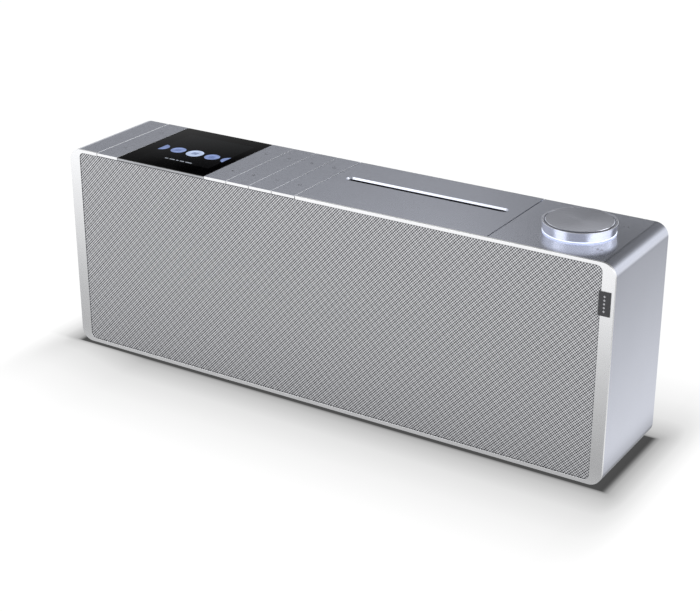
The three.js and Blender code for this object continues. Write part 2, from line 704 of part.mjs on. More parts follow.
// Assembly.
place('housing_sleeve', housingSleeve(), 'satinAluminium');
place('front_bezel', frontBezel(), 'brightAluminium');
place('grille_frame', grilleFrame(), 'greyPlastic');
place('grille', grille(), 'wovenMetal');
place('fabric_tag', fabricTag(), 'wovenLabel');
place('display_glass', displayGlass(), 'blackGlass');
place('display_trim', displayTrim(), 'greyPlastic');
place('display_module', displayModule(), 'blackPlastic');
KEY_LEFTS.forEach((left, i) => place(`key_${i + 1}`, keyBar(left), 'satinAluminium'));
place('key_board', keyBoard(), 'circuitBoard');
place('top_carrier', topCarrier(), 'blackPlastic');
place('slot_plate', slotPlate(), 'satinAluminium');
place('disc_guide', discGuide(), 'blackPlastic');
place('light_ring', lightRing(), 'lightPlastic');
place('knob_ring', knobRing(), 'turnedAluminium');
place('knob_cap', knobCap(), 'turnedAluminium');
place('rotary_encoder', rotaryEncoder(), 'blackPlastic');
place('baffle', baffle(), 'blackPlastic');
[['left', -DRIVER_X], ['right', DRIVER_X]].forEach(([side, x]) => {
  place(`${side}_driver_frame`, driverFrame(x), 'castMetal');
  place(`${side}_driver_magnet`, driverMagnet(x), 'steel');
  place(`${side}_driver_cone`, driverCone(x), 'paper');
  place(`${side}_driver_surround`, driverSurround(x), 'rubber');
});
place('disc_chassis', discChassis(), 'steel');
place('disc_cover', discCover(), 'steel');
place('disc_spindle', discSpindle(), 'blackPlastic');
place('spindle_motor', spindleMotor(), 'steel');
place('laser_sled', laserSled(), 'castMetal');
place('lead_screw', leadScrew(), 'steel');
place('sled_motor', sledMotor(), 'steel');
place('loading_roller', loadingRoller(), 'rubber');
place('loading_motor', loadingMotor(), 'steel');
place('main_board', mainBoard(), 'circuitBoard');
place('amplifier_board', amplifierBoard(), 'circuitBoard');
place('heatsink', heatsink(), 'castMetal');
place('power_supply', powerSupply(), 'circuitBoard');
place('rear_panel', rearPanel(), 'blackPlastic');
place('socket_plate', socketPlate(), 'steel');
place('bass_port', bassPort(), 'blackPlastic');
place('mains_inlet', mainsInlet(), 'blackPlastic');
place('antenna_socket', antennaSocket(), 'steel');
place('network_socket', networkSocket(), 'steel');
place('usb_socket', usbSocket(), 'steel');
place('optical_socket', opticalSocket(), 'blackPlastic');
place('audio_jacks', audioJacks(), 'blackPlastic');
[[-198, 14], [198, 14], [-198, 139], [198, 139]].forEach(
  ([x, z], i) => place(`rear_screw_${i + 1}`, rearScrew(x, z), 'steel'),
);
[[-180, -27], [180, -27], [-180, 27], [180, 27]].forEach(
  ([x, y], i) => place(`foot_${i + 1}`, foot(x, y), 'rubber'),
);

export default system;
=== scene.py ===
"""The looks of a one-box mini hi-fi system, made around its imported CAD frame.

Meshes are built in millimetres in the frame's own axes (+X to the listener's right, the grille
faces -Y, +Z up) and scaled to metres when they become objects.
"""
import json
import math

import bmesh
import bpy
from mathutils import Matrix, Vector

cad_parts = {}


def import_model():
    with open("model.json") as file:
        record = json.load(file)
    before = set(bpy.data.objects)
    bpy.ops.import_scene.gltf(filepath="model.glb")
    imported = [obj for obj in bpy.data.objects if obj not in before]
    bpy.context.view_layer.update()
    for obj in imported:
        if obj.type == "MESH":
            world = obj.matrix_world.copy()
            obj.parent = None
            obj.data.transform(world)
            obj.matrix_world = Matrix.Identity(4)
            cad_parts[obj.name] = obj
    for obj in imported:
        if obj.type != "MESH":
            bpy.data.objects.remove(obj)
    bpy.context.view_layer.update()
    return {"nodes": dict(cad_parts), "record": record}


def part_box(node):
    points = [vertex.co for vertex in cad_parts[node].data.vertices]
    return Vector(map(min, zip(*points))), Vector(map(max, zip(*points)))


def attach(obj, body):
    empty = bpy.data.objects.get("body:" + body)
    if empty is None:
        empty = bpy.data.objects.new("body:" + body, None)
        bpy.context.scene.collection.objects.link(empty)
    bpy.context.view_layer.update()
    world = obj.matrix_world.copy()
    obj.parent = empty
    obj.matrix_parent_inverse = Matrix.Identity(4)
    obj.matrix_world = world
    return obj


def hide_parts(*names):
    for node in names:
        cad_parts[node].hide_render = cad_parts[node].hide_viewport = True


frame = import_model()
NODES = frame["nodes"]
RECORD = frame["record"]

MM = 0.001
TAU = 2 * math.pi
SHARP_ANGLE = math.radians(38)
KEY_COUNT = 5
KEY_SLIT = 0.5          # between two keys
SEAM_GAP = 0.6          # between the slot plate and the knob's part of the top
CORNER_RADIUS = 9.2     # the cabinet's long edges
WALL = 2.5              # the cabinet wall
OPENING_RADIUS = 4.0    # the grille opening's corners
OPENING_MARGIN = 0.3    # from the grille frame out to the bezel
DECAL = 0.03            # printed marks stand this proud
CUT_WIDTH = 0.22        # the cut along a key's right-hand edge, bright with a painted highlight
CUT_DEPTH = 0.46        # how far that cut reaches down
KEY_THICKNESS = 1.9
CONTACT_GAP = 0.3       # around each socket, the inlet and the port
LINE_STEPS = 10         # steps in a rounded corner


# ---------------------------------------------------------------- places, from the frame
def limits(node):
    """The lowest and highest corners of a CAD node, in millimetres."""
    low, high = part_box(node)
    return low / MM, high / MM


def middle(node):
    low, high = limits(node)
    return (low + high) / 2


BEZEL_LOW, BEZEL_HIGH = limits("front_bezel")
SIDE = BEZEL_HIGH.x
FRONT = BEZEL_LOW.y
BEZEL_BACK = BEZEL_HIGH.y
BOTTOM = BEZEL_LOW.z
TOP = BEZEL_HIGH.z
BACK = limits("housing_sleeve")[1].y
OPENING_LOW = limits("grille_frame")[0] - Vector((OPENING_MARGIN,) * 3)
OPENING_HIGH = limits("grille_frame")[1] + Vector((OPENING_MARGIN,) * 3)
KEYS_LEFT = limits("key_1")[0].x - KEY_SLIT
KEYS_RIGHT = limits("key_5")[1].x
KNOB_X = middle("knob_ring").x


# ---------------------------------------------------------------- mesh helpers
def rounded_path(corners, steps=LINE_STEPS):
    """The path through (a, b, radius) corners, each turned into an arc of that radius."""
    path = []
    for i, (a, b, radius) in enumerate(corners):
        here = Vector((a, b))
        if radius == 0:
            path.append((a, b))
            continue
        back = (Vector(corners[i - 1][:2]) - here).normalized()
        ahead = (Vector(corners[(i + 1) % len(corners)][:2]) - here).normalized()
        half = back.angle(ahead) / 2
        centre = here + (back + ahead).normalized() * (radius / math.sin(half))
        start = here + back * (radius / math.tan(half)) - centre
        end = here + ahead * (radius / math.tan(half)) - centre
        sweep = math.pi - 2 * half
        for k in range(steps + 1):
            share = k / steps
            arm = start * math.sin((1 - share) * sweep) + end * math.sin(share * sweep)
            path.append(tuple(centre + arm / math.sin(sweep)))
    return path


def rectangle(a0, a1, b0, b1, radius=0, steps=LINE_STEPS):
    return rounded_path([(a0, b0, radius), (a1, b0, radius), (a1, b1, radius), (a0, b1, radius)], steps)


def circle(a, b, radius, steps=48):
    turns = [TAU * k / steps for k in range(steps)]
    return [(a + radius * math.cos(turn), b + radius * math.sin(turn)) for turn in turns]


AXES = {
    "X": lambda a, b, t: (t, a, b),
    "Y": lambda a, b, t: (a, t, b),
    "Z": lambda a, b, t: (a, b, t),
}


def prism(outline, low, high, axis, holes=()):
    """A closed solid: a flat outline with holes, pushed from low to high along an axis."""
    bm = bmesh.new()
    at = AXES[axis]
    edges = []
    for ring in [outline, *holes]:
        verts = [bm.verts.new(at(a, b, low)) for a, b in ring]
        edges += [bm.edges.new((verts[i - 1], verts[i])) for i in range(len(verts))]
    bmesh.ops.triangle_fill(bm, use_beauty=True, edges=edges)
    bmesh.ops.dissolve_limit(bm, angle_limit=math.radians(0.5), verts=bm.verts, edges=bm.edges)
    pushed = bmesh.ops.extrude_face_region(bm, geom=bm.faces[:])["geom"]
    moved = [item for item in pushed if isinstance(item, bmesh.types.BMVert)]
    bmesh.ops.translate(bm, vec=at(0, 0, high - low), verts=moved)
    bmesh.ops.recalc_face_normals(bm, faces=bm.faces)
    return bm


def bevel(bm, width, segments, test):
    """Rounds the sharp edges whose middle passes the test."""
    chosen = []
    for edge in bm.edges:
        if len(edge.link_faces) == 2 and edge.calc_face_angle() > SHARP_ANGLE:
            if test((edge.verts[0].co + edge.verts[1].co) / 2):
                chosen.append(edge)
    bmesh.ops.bevel(
        bm, geom=chosen, offset=width, offset_type="OFFSET", segments=segments,
        profile=0.5, affect="EDGES", clamp_overlap=True,
    )
    return bm


def at_level(axis, *levels):
    """A test for bevel: the edge lies in one of these planes."""
    index = "XYZ".index(axis)
    return lambda point: any(abs(point[index] - level) < 0.01 for level in levels)


def lathe(profile, centre, axis="Z", steps=128, closed=False):
    """A turned solid: (radius, height) points around an axis.

    The centre is the axis's place in the other two coordinates.
    """
    bm = bmesh.new()
    at = AXES[axis]
    first, second = centre
    rings = []
    for radius, height in profile:
        count = steps if radius > 0 else 1
        turn = [TAU * k / count for k in range(count)]
        rings.append([
            bm.verts.new(at(first + radius * math.cos(t), second + radius * math.sin(t), height))
            for t in turn
        ])
    pairs = list(zip(rings, rings[1:]))
    if closed:
        pairs.append((rings[-1], rings[0]))
    for low, high in pairs:
        for k in range(steps):
            after = k + 1
            corners = [low[k % len(low)], low[after % len(low)], high[after % len(high)], high[k % len(high)]]
            unique = list(dict.fromkeys(corners))
            if len(unique) > 2:
                bm.faces.new(unique)
    bmesh.ops.recalc_face_normals(bm, faces=bm.faces)
    return bm


def merge(*parts):
    """Several closed solids in one mesh."""
    whole = bmesh.new()
    for bm in parts:
        mesh = bpy.data.meshes.new("part")
        bm.to_mesh(mesh)
        bm.free()
        whole.from_mesh(mesh)
        bpy.data.meshes.remove(mesh)
    return whole


def piece(name, bm, slot, body="cabinet", replaces=(), material=None, second=None):
    """Turns a mesh in millimetres into a finished piece of the object."""
    bmesh.ops.scale(bm, vec=(MM, MM, MM), verts=bm.verts)
    mesh = bpy.data.meshes.new(name)
    bm.to_mesh(mesh)
    bm.free()
    mesh.shade_smooth()
    mesh.set_sharp_from_angle(angle=SHARP_ANGLE)
    mesh.materials.append(material or MATERIALS[slot])
    if second:
        mesh.materials.append(second)
    made = bpy.data.objects.new(name, mesh)
    bpy.context.scene.collection.objects.link(made)
    weighted = made.modifiers.new("weighted_normals", "WEIGHTED_NORMAL")
    weighted.keep_sharp = True
    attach(made, body)
    if replaces:
        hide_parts(*replaces)
    return made


# ---------------------------------------------------------------- material helpers
class Finish:
    """A Principled material and the nodes that feed it, in object coordinates in millimetres."""

    def __init__(self, name, **sockets):
        self.material = bpy.data.materials.new(name)
        self.material.use_nodes = True
        self.tree = self.material.node_tree
        self.shader = self.tree.nodes["Principled BSDF"]
        for socket, value in sockets.items():
            self.shader.inputs[socket.replace("_", " ")].default_value = value
        coordinates = self.add("ShaderNodeTexCoord").outputs["Object"]
        scaled = self.add("ShaderNodeVectorMath", operation="SCALE")
        self.tree.links.new(coordinates, scaled.inputs[0])
        scaled.inputs["Scale"].default_value = 1 / MM
        self.place = scaled.outputs[0]

    def add(self, kind, **properties):
        made = self.tree.nodes.new(kind)
        for key, value in properties.items():
            setattr(made, key, value)
        return made

    def feed(self, socket, value):
        if isinstance(value, bpy.types.NodeSocket):
            self.tree.links.new(value, socket)
        else:
            socket.default_value = value

    def maths(self, operation, first, second=0.0, third=0.0):
        made = self.add("ShaderNodeMath", operation=operation)
        for socket, value in zip(made.inputs, (first, second, third)):
            self.feed(socket, value)
        return made.outputs[0]

    def axes(self):
        return self.split(self.place)

    def split(self, vector):
        made = self.add("ShaderNodeSeparateXYZ")
        self.feed(made.inputs[0], vector)
        return made.outputs

    def stretched(self, x, y, z):
        """The place with each axis multiplied."""
        made = self.add("ShaderNodeVectorMath", operation="MULTIPLY")
        self.feed(made.inputs[0], self.place)
        made.inputs[1].default_value = (x, y, z)
        return made.outputs[0]

    def noise(self, size, detail=2.0, place=None):
        """Noise from 0 to 1 with features of a size in millimetres."""
        made = self.add("ShaderNodeTexNoise")
        self.feed(made.inputs["Vector"], place or self.place)
        made.inputs["Scale"].default_value = 1 / size
        made.inputs["Detail"].default_value = detail
        return made.outputs["Fac"]

    def remap(self, value, low, high, start=0.0, end=1.0):
        """Takes value from start..end to low..high, held at both ends."""
        made = self.add("ShaderNodeMapRange")
        for socket, number in zip(made.inputs, (value, start, end, low, high)):
            self.feed(socket, number)
        return made.outputs[0]

    def ramp(self, value, *stops):
        """A colour ramp of (position, (r, g, b)) stops."""
        made = self.add("ShaderNodeValToRGB")
        elements = made.color_ramp.elements
        while len(elements) < len(stops):
            elements.new(1.0)
        for element, (position, colour) in zip(elements, stops):
            element.position = position
            element.color = (*colour, 1)
        self.feed(made.inputs[0], value)
        return made.outputs[0]

    def colour(self, value):
        self.feed(self.shader.inputs["Base Color"], value)

    def roughness(self, value):
        self.feed(self.shader.inputs["Roughness"], value)

    def bump(self, height, depth):
        """Relief of a depth in millimetres, from a height of 0 to 1."""
        made = self.add("ShaderNodeBump")
        made.inputs["Distance"].default_value = depth * MM
        self.feed(made.inputs["Height"], height)
        self.feed(self.shader.inputs["Normal"], made.outputs[0])


def tinted(colour, factor):
    return tuple(min(1.0, channel * factor) for channel in colour)


def blasted_metal(name, colour, roughness):
    """Bead-blasted, anodised metal: an even satin with a fine grain and a faint unevenness."""
    finish = Finish(name, Metallic=1.0)
    cloud = finish.noise(38, 3.0)
    finish.colour(finish.ramp(cloud, (0.3, tinted(colour, 0.985)), (0.7, tinted(colour, 1.015))))
    finish.roughness(finish.remap(finish.noise(1.6, 3.0), roughness - 0.012, roughness + 0.012, 0.3, 0.7))
    return finish.material


def satin_aluminium():
    return blasted_metal("satin_aluminium", (0.62, 0.645, 0.735), 0.2)


def bright_aluminium():
    # on the cuts beside the keys this brighter copy of the metal is a painted highlight
    return blasted_metal("bright_aluminium", (0.9, 0.905, 0.92), 0.28)


def turned_aluminium():
    """Turned metal: fine rings around the knob's axis, and highlights a little stretched across them."""
    finish = Finish("turned_aluminium", Metallic=1.0, Anisotropic=0.2)
    x, y, _ = finish.axes()
    from_axis = finish.maths("SUBTRACT", x, KNOB_X)
    y_squared = finish.maths("MULTIPLY", y, y)
    radius = finish.maths("SQRT", finish.maths("MULTIPLY_ADD", from_axis, from_axis, y_squared))
    rings = finish.maths("SINE", finish.maths("MULTIPLY", radius, TAU / 0.3))
    lines = finish.noise(0.35, 1.0, finish.stretched(0.02, 0.02, 1))
    finish.roughness(finish.remap(finish.maths("ADD", rings, lines), 0.2, 0.24, -1, 2))
    finish.colour(finish.ramp(finish.noise(25), (0.3, (0.69, 0.71, 0.79)), (0.7, (0.71, 0.73, 0.81))))
    turn = finish.add("ShaderNodeTangent", direction_type="RADIAL", axis="Z")
    finish.feed(finish.shader.inputs["Tangent"], turn.outputs[0])
    return finish.material


def woven_metal():
    """Wire cloth: ribs that rise to the right, and cross ribs that grow stronger towards the right, a painted
    change of light across the cloth. The colour follows the height: painted highlights on the crossings and
    painted shade in the hollows, partly the real dark behind the openings.
    """
    finish = Finish("woven_metal", Metallic=0.35)
    pitch_x = 2.0
    pitch_z = 1 / 0.486
    x, _, z = finish.axes()
    across = finish.maths("MULTIPLY", x, TAU / pitch_x)
    along = finish.maths("MULTIPLY", z, TAU / pitch_z)
    rising = finish.maths("COSINE", finish.maths("SUBTRACT", across, along))
    falling = finish.maths("COSINE", finish.maths("ADD", across, along))
    group_x = finish.maths("COSINE", finish.maths("MULTIPLY", x, TAU / 6))
    group_z = finish.maths("COSINE", finish.maths("MULTIPLY", z, TAU / 6.37))
    # painted change of light: the cross ribs grow stronger towards the right
    weave = finish.maths("MULTIPLY_ADD", falling, finish.remap(x, 0.55, 0.88, 0, SIDE), rising)
    weave = finish.maths("MULTIPLY_ADD", finish.maths("MULTIPLY", group_x, group_z), 0.3, weave)
    strand = finish.maths("SINE", finish.maths("MULTIPLY", finish.maths("ADD", x, z), TAU / 0.34))
    weave = finish.maths("MULTIPLY_ADD", strand, 0.12, weave)
    height = finish.remap(weave, 0.0, 1.0, -1.6, 1.6)
    uneven = finish.maths("MULTIPLY_ADD", finish.noise(1.1, 1.0), 0.12, height)
    # painted highlights on the crossings and painted shade in the hollows, partly the real dark behind the
    # openings: the colour follows the height
    finish.colour(finish.ramp(
        uneven, (0.2, (0.03, 0.03, 0.034)), (0.42, (0.19, 0.19, 0.2)),
        (0.62, (0.44, 0.445, 0.465)), (0.95, (0.76, 0.765, 0.785)),
    ))
    finish.roughness(finish.remap(height, 0.62, 0.42))
    finish.bump(height, 0.22)
    return finish.material


def black_glass():
    """Black-printed glass: deep gloss, with only a trace of wiping in its roughness."""
    finish = Finish("black_glass", IOR=1.5)
    smear = finish.noise(22, 3.0, finish.stretched(1, 0.3, 1))
    finish.roughness(finish.remap(smear, 0.03, 0.06, 0.35, 0.75))
    finish.colour(finish.ramp(smear, (0.3, (0.0004, 0.0004, 0.0006)), (0.7, (0.0008, 0.0008, 0.001))))
    return finish.material


def moulded_plastic(name, colour, roughness, grain=0.7, depth=0.03):
    """Spark-eroded moulded plastic: a fine pebbled texture."""
    finish = Finish(name)
    pebbles = finish.add("ShaderNodeTexVoronoi", feature="SMOOTH_F1")
    finish.feed(pebbles.inputs["Vector"], finish.place)
    pebbles.inputs["Scale"].default_value = 1 / grain
    texture = pebbles.outputs["Distance"]
    finish.colour(finish.ramp(finish.noise(16), (0.3, tinted(colour, 0.88)), (0.7, tinted(colour, 1.12))))
    finish.roughness(finish.remap(texture, roughness - 0.06, roughness + 0.08))
    finish.bump(texture, depth)
    return finish.material


def black_plastic():
    return moulded_plastic("black_plastic", (0.018, 0.018, 0.02), 0.48)


def grey_plastic():
    return moulded_plastic("grey_plastic", (0.42, 0.43, 0.45), 0.42, 0.4, 0.01)


def light_plastic():
    """A light guide, lit from inside, a little brighter in patches over its lamps."""
    finish = Finish("light_plastic", Roughness=0.25, Emission_Color=(0.82, 0.86, 1.0, 1.0))
    glow = finish.noise(14, 1.0)
    finish.colour(finish.ramp(glow, (0.3, (0.8, 0.86, 0.96)), (0.7, (0.9, 0.94, 1.0))))
    finish.feed(finish.shader.inputs["Emission Strength"], finish.remap(glow, 0.6, 0.75, 0.3, 0.7))
    return finish.material


def rubber():
    finish = Finish("rubber")
    grain = finish.noise(0.3, 3.0)
    finish.colour(finish.ramp(finish.noise(5), (0.3, (0.014, 0.014, 0.014)), (0.7, (0.022, 0.022, 0.021))))
    finish.roughness(finish.remap(grain, 0.68, 0.86, 0.3, 0.7))
    finish.bump(grain, 0.02)
    return finish.material


def woven_label():
    """A satin ribbon: fine weft ribs with a slight change of tone from thread to thread."""
    finish = Finish("woven_label", Sheen_Weight=0.25, Sheen_Roughness=0.4)
    x, _, z = finish.axes()
    weft = finish.maths("SINE", finish.maths("MULTIPLY", z, TAU / 0.28))
    warp = finish.maths("SINE", finish.maths("MULTIPLY", x, TAU / 0.2))
    cloth = finish.remap(finish.maths("MULTIPLY", weft, warp), 0.0, 1.0, -1, 1)
    tone = finish.maths("MULTIPLY_ADD", finish.noise(0.6), 0.4, cloth)
    finish.colour(finish.ramp(tone, (0.1, (0.016, 0.016, 0.018)), (1.0, (0.05, 0.051, 0.056))))
    finish.roughness(finish.remap(cloth, 0.5, 0.7))
    finish.bump(cloth, 0.04)
    return finish.material


def steel():
    """Zinc-plated steel sheet, brushed along X."""
    finish = Finish("steel", Metallic=1.0)
    brushed = finish.noise(0.5, 3.0, finish.stretched(0.03, 1, 1))
    finish.colour(finish.ramp(brushed, (0.3, (0.44, 0.45, 0.47)), (0.7, (0.6, 0.61, 0.63))))
    finish.roughness(finish.remap(brushed, 0.26, 0.42, 0.3, 0.7))
    finish.bump(brushed, 0.006)
    return finish.material


def cast_metal():
    """Powder-coated casting: a coarse orange-peel surface."""
    finish = Finish("cast_metal")
    peel = finish.noise(0.9, 2.0)
    finish.colour(finish.ramp(finish.noise(9), (0.3, (0.025, 0.025, 0.028)), (0.7, (0.04, 0.04, 0.044))))
    finish.roughness(finish.remap(peel, 0.42, 0.6, 0.3, 0.7))
    finish.bump(peel, 0.05)
    return finish.material


def cone_paper():
    """Pressed fibre: short dark fibres in a grey-black sheet."""
    finish = Finish("cone_paper")
    fibres = finish.noise(1.2, 4.0, finish.stretched(1, 1, 0.25))
    finish.colour(finish.ramp(fibres, (0.3, (0.016, 0.016, 0.018)), (0.75, (0.05, 0.05, 0.054))))
    finish.roughness(finish.remap(fibres, 0.75, 0.92, 0.3, 0.7))
    finish.bump(fibres, 0.05)
    return finish.material


def circuit_board():
    """Green solder mask over copper tracks."""
    finish = Finish("circuit_board", Coat_Weight=0.3)
    tracks = finish.add("ShaderNodeTexBrick", offset=0.5)
    finish.feed(tracks.inputs["Vector"], finish.place)
    tracks.inputs["Scale"].default_value = 0.35
    tracks.inputs["Mortar Size"].default_value = 0.06
    tracks.inputs["Color1"].default_value = (0.012, 0.06, 0.022, 1)
    tracks.inputs["Color2"].default_value = (0.016, 0.075, 0.028, 1)
    tracks.inputs["Mortar"].default_value = (0.03, 0.13, 0.05, 1)
    finish.colour(tracks.outputs["Color"])
    finish.roughness(finish.remap(finish.noise(2), 0.32, 0.46, 0.3, 0.7))
    finish.bump(tracks.outputs["Fac"], 0.02)
    return finish.material


MATERIALS = {
    make.__name__: make() for make in (
        satin_aluminium, bright_aluminium, turned_aluminium, woven_metal, black_glass, black_plastic,
        grey_plastic, light_plastic, rubber, woven_label, steel, cast_metal, cone_paper, circuit_board,
    )
}


def glossy_black(finish, size):
    """The nearly black base under the screen's gloss."""
    cloud = finish.noise(size)
    finish.colour(finish.ramp(cloud, (0.3, (0.001, 0.001, 0.0015)), (0.7, (0.0015, 0.0015, 0.002))))


def lit(name, colour, low, high, size=6.0):
    """A lit part of the screen, slightly uneven, under the same gloss as the glass."""
    finish = Finish(name, Roughness=0.05, IOR=1.5, Emission_Color=(*colour, 1.0))
    glossy_black(finish, size)
    shine = finish.remap(finish.noise(size, 1.0), low, high, 0.4, 0.6)
    finish.feed(finish.shader.inputs["Emission Strength"], shine)
    return finish.material


def screen_face():
    """The dark picture area: a faint grey that fades towards the listener."""
    finish = Finish("screen_face", Roughness=0.05, IOR=1.5, Emission_Color=(0.85, 0.93, 1.0, 1.0))
    low, high = limits("display_module")
    _, y, _ = finish.axes()
    glossy_black(finish, 12)
    finish.feed(finish.shader.inputs["Emission Strength"], finish.remap(y, 0.0, 0.005, low.y, high.y))
    return finish.material


def printed_ink(name, colour):
    finish = Finish(name)
    speckle = finish.noise(0.4)
    finish.colour(finish.ramp(speckle, (0.3, tinted(colour, 0.85)), (0.7, tinted(colour, 1.15))))
    finish.roughness(finish.remap(speckle, 0.4, 0.55, 0.3, 0.7))
    return finish.material


def gold_plate():
    finish = Finish("gold_plate", Metallic=1.0)
    worn = finish.noise(1.5)
    finish.colour(finish.ramp(worn, (0.3, (0.72, 0.47, 0.16)), (0.7, (0.85, 0.6, 0.24))))
    finish.roughness(finish.remap(worn, 0.22, 0.34, 0.3, 0.7))
    return finish.material


SCREEN = screen_face()
LAMP_BLUE = lit("icon_blue", (0.36, 0.47, 0.86), 0.55, 0.75)
LAMP_WHITE = lit("icon_white", (0.62, 0.74, 1.0), 0.75, 0.95)
LAMP_DIM = lit("icon_dim", (0.2, 0.28, 0.62), 0.4, 0.5)
LAMP_TEXT = lit("caption_bars", (0.7, 0.76, 0.86), 0.45, 0.6)
# dark print on the keys and beside the knob, and painted shade in the screws' cross recesses
DARK_INK_AND_SHADE = printed_ink("dark_ink_and_shade", (0.085, 0.088, 0.1))
LIGHT_INK = printed_ink("light_ink", (0.42, 0.42, 0.44))
GOLD = gold_plate()


# ---------------------------------------------------------------- cabinet
def paint_cut_highlight(bm, edge):
    """Give the second, brighter material to the steep cut that faces right, at x = edge: a painted highlight
    where the cut catches the light.
    """
    for face in bm.faces:
        centre = face.calc_center_median()
        if face.normal.x > 0.5 and face.normal.z > 0.2 and abs(centre.x - edge) < CUT_WIDTH:
            face.material_index = 1


def taper_cut(bm, edge, cut, depth, back):
    """Narrow the cut towards its back end."""
    corner = Vector((edge, back, TOP))
    for v in bm.verts:
        if v.co.y > back - 0.01 and v.co.x > edge - cut - 0.01 and v.co.z > TOP - depth - 0.01:
            v.co = corner.lerp(v.co, 0.45)


def cabinet_shell():
    """The metal wrap: floor, both sides and the two ends of the top, open where keys and slot plate sit."""
    left = KEYS_LEFT
    right = limits("slot_plate")[1].x + SEAM_GAP
    outer = CORNER_RADIUS
    inner = CORNER_RADIUS - WALL
    outline = rounded_path([
        (left, TOP - CUT_DEPTH, 0), (left - CUT_WIDTH, TOP, 0), (-SIDE, TOP, outer),
        (-SIDE, BOTTOM, outer), (SIDE, BOTTOM, outer), (SIDE, TOP, outer),
        (right, TOP, 0), (right, TOP - WALL, 0), (SIDE - WALL, TOP - WALL, inner),
        (SIDE - WALL, BOTTOM + WALL, inner), (-SIDE + WALL, BOTTOM + WALL, inner),
        (-SIDE + WALL, TOP - WALL, inner), (left, TOP - WALL, 0),
    ], 24)
    bm = prism(outline, BEZEL_BACK, BACK, "Y")
    bevel(bm, 0.35, 2, at_level("Y", BACK))
    bevel(bm, 0.18, 2, lambda p: abs(p.z - TOP) < 0.01 and abs(p.x - right) < 0.01)
    # painted highlight: the cut at the left end of the keys gets the brighter metal
    paint_cut_highlight(bm, left)
    piece("cabinet_shell", bm, "satin_aluminium", replaces=["housing_sleeve"],
          second=MATERIALS["bright_aluminium"])


def bezel_face():
    """The bright frame around the grille. It is cut away over the keys, whose front ends fill the gap."""
    left = KEYS_LEFT
    right = KEYS_RIGHT + KEY_SLIT
    outline = rounded_path([
        (left, TOP, 0), (-SIDE, TOP, CORNER_RADIUS), (-SIDE, BOTTOM, CORNER_RADIUS),
        (SIDE, BOTTOM, CORNER_RADIUS), (SIDE, TOP, CORNER_RADIUS), (right, TOP, 0),
        (right, OPENING_HIGH.z, 0), (OPENING_HIGH.x, OPENING_HIGH.z, OPENING_RADIUS),
        (OPENING_HIGH.x, OPENING_LOW.z, OPENING_RADIUS), (OPENING_LOW.x, OPENING_LOW.z, OPENING_RADIUS),
        (OPENING_LOW.x, OPENING_HIGH.z, OPENING_RADIUS), (left, OPENING_HIGH.z, 0),
    ], 24)
    bm = prism(outline, FRONT, BEZEL_BACK, "Y")
    bevel(bm, 0.18, 3, at_level("Y", FRONT))
    piece("bezel_face", bm, "bright_aluminium", replaces=["front_bezel"])


def grille_cloth():
    """The woven cloth, drawn round its frame so that its edges curve back into the bezel."""
    gap = 0.12
    front = FRONT + 0.3
    outline = rectangle(
        OPENING_LOW.x + gap, OPENING_HIGH.x - gap, OPENING_LOW.z + gap, OPENING_HIGH.z - gap,
        OPENING_RADIUS - gap, 12,
    )
    bm = prism(outline, front, front + 1.1, "Y")
    bevel(bm, 0.7, 4, at_level("Y", front))
    piece("grille_cloth", bm, "woven_metal", replaces=["grille"])


def grille_back_frame():
    """The frame behind the cloth: a rim and two bars."""
    low, high = limits("grille_frame")
    front = FRONT + 1.5
    bays = 3
    bar = 6.0
    ledge = 4.0
    bay = (high.x - low.x - 2 * ledge - (bays - 1) * bar) / bays
    holes = []
    for i in range(bays):
        x = low.x + ledge + i * (bay + bar)
        holes.append(rectangle(x, x + bay, low.z + ledge, high.z - ledge, 3, 5))
    outline = rectangle(low.x, high.x, low.z, high.z, OPENING_RADIUS - OPENING_MARGIN, 8)
    bm = prism(outline, front, high.y, "Y", holes)
    bevel(bm, 0.3, 2, at_level("Y", front, high.y))
    piece("grille_back_frame", bm, "grey_plastic", replaces=["grille_frame"])


def ribbon_tag():
    """A ribbon that comes out beside the cloth, lies on the bezel and is folded back under itself."""
    low, high = limits("fabric_tag")
    thick = 0.2
    outside = low.y + DECAL
    fold = high.x
    root = low.x
    outline = rounded_path([
        (root, FRONT + 0.25, 0), (root + 0.1, outside + 0.02, 0.35), ((root + fold) / 2, outside, 0),
        (fold, outside + 0.03, 0.24), (fold, FRONT - 0.02, 0.24), (root + 1.5, FRONT - 0.03, 0),
        (root + 1.5, FRONT - 0.03 - thick, 0), (fold - 0.45, FRONT - 0.05 - thick, 0),
        (fold - 0.5, outside + thick + 0.05, 0), (root + 0.6, outside + thick + 0.02, 0.2),
        (root + 0.35, FRONT + 0.25, 0),
    ], 5)
    bm = prism(outline, low.z, high.z, "Z")
    bevel(bm, 0.05, 2, at_level("Z", low.z, high.z))
    piece("ribbon_tag", bm, "woven_label", replaces=["fabric_tag"])
    centre = (low + high) / 2
    marks = []
    for k in range(-2, 3):
        z = centre.z + k * 2.4
        diamond = [(centre.x - 0.8, z), (centre.x, z - 0.8), (centre.x + 0.8, z), (centre.x, z + 0.8)]
        marks.append(prism(diamond, low.y, low.y + 0.05, "Y"))
    piece("ribbon_marks", merge(*marks), "woven_label", material=LIGHT_INK)


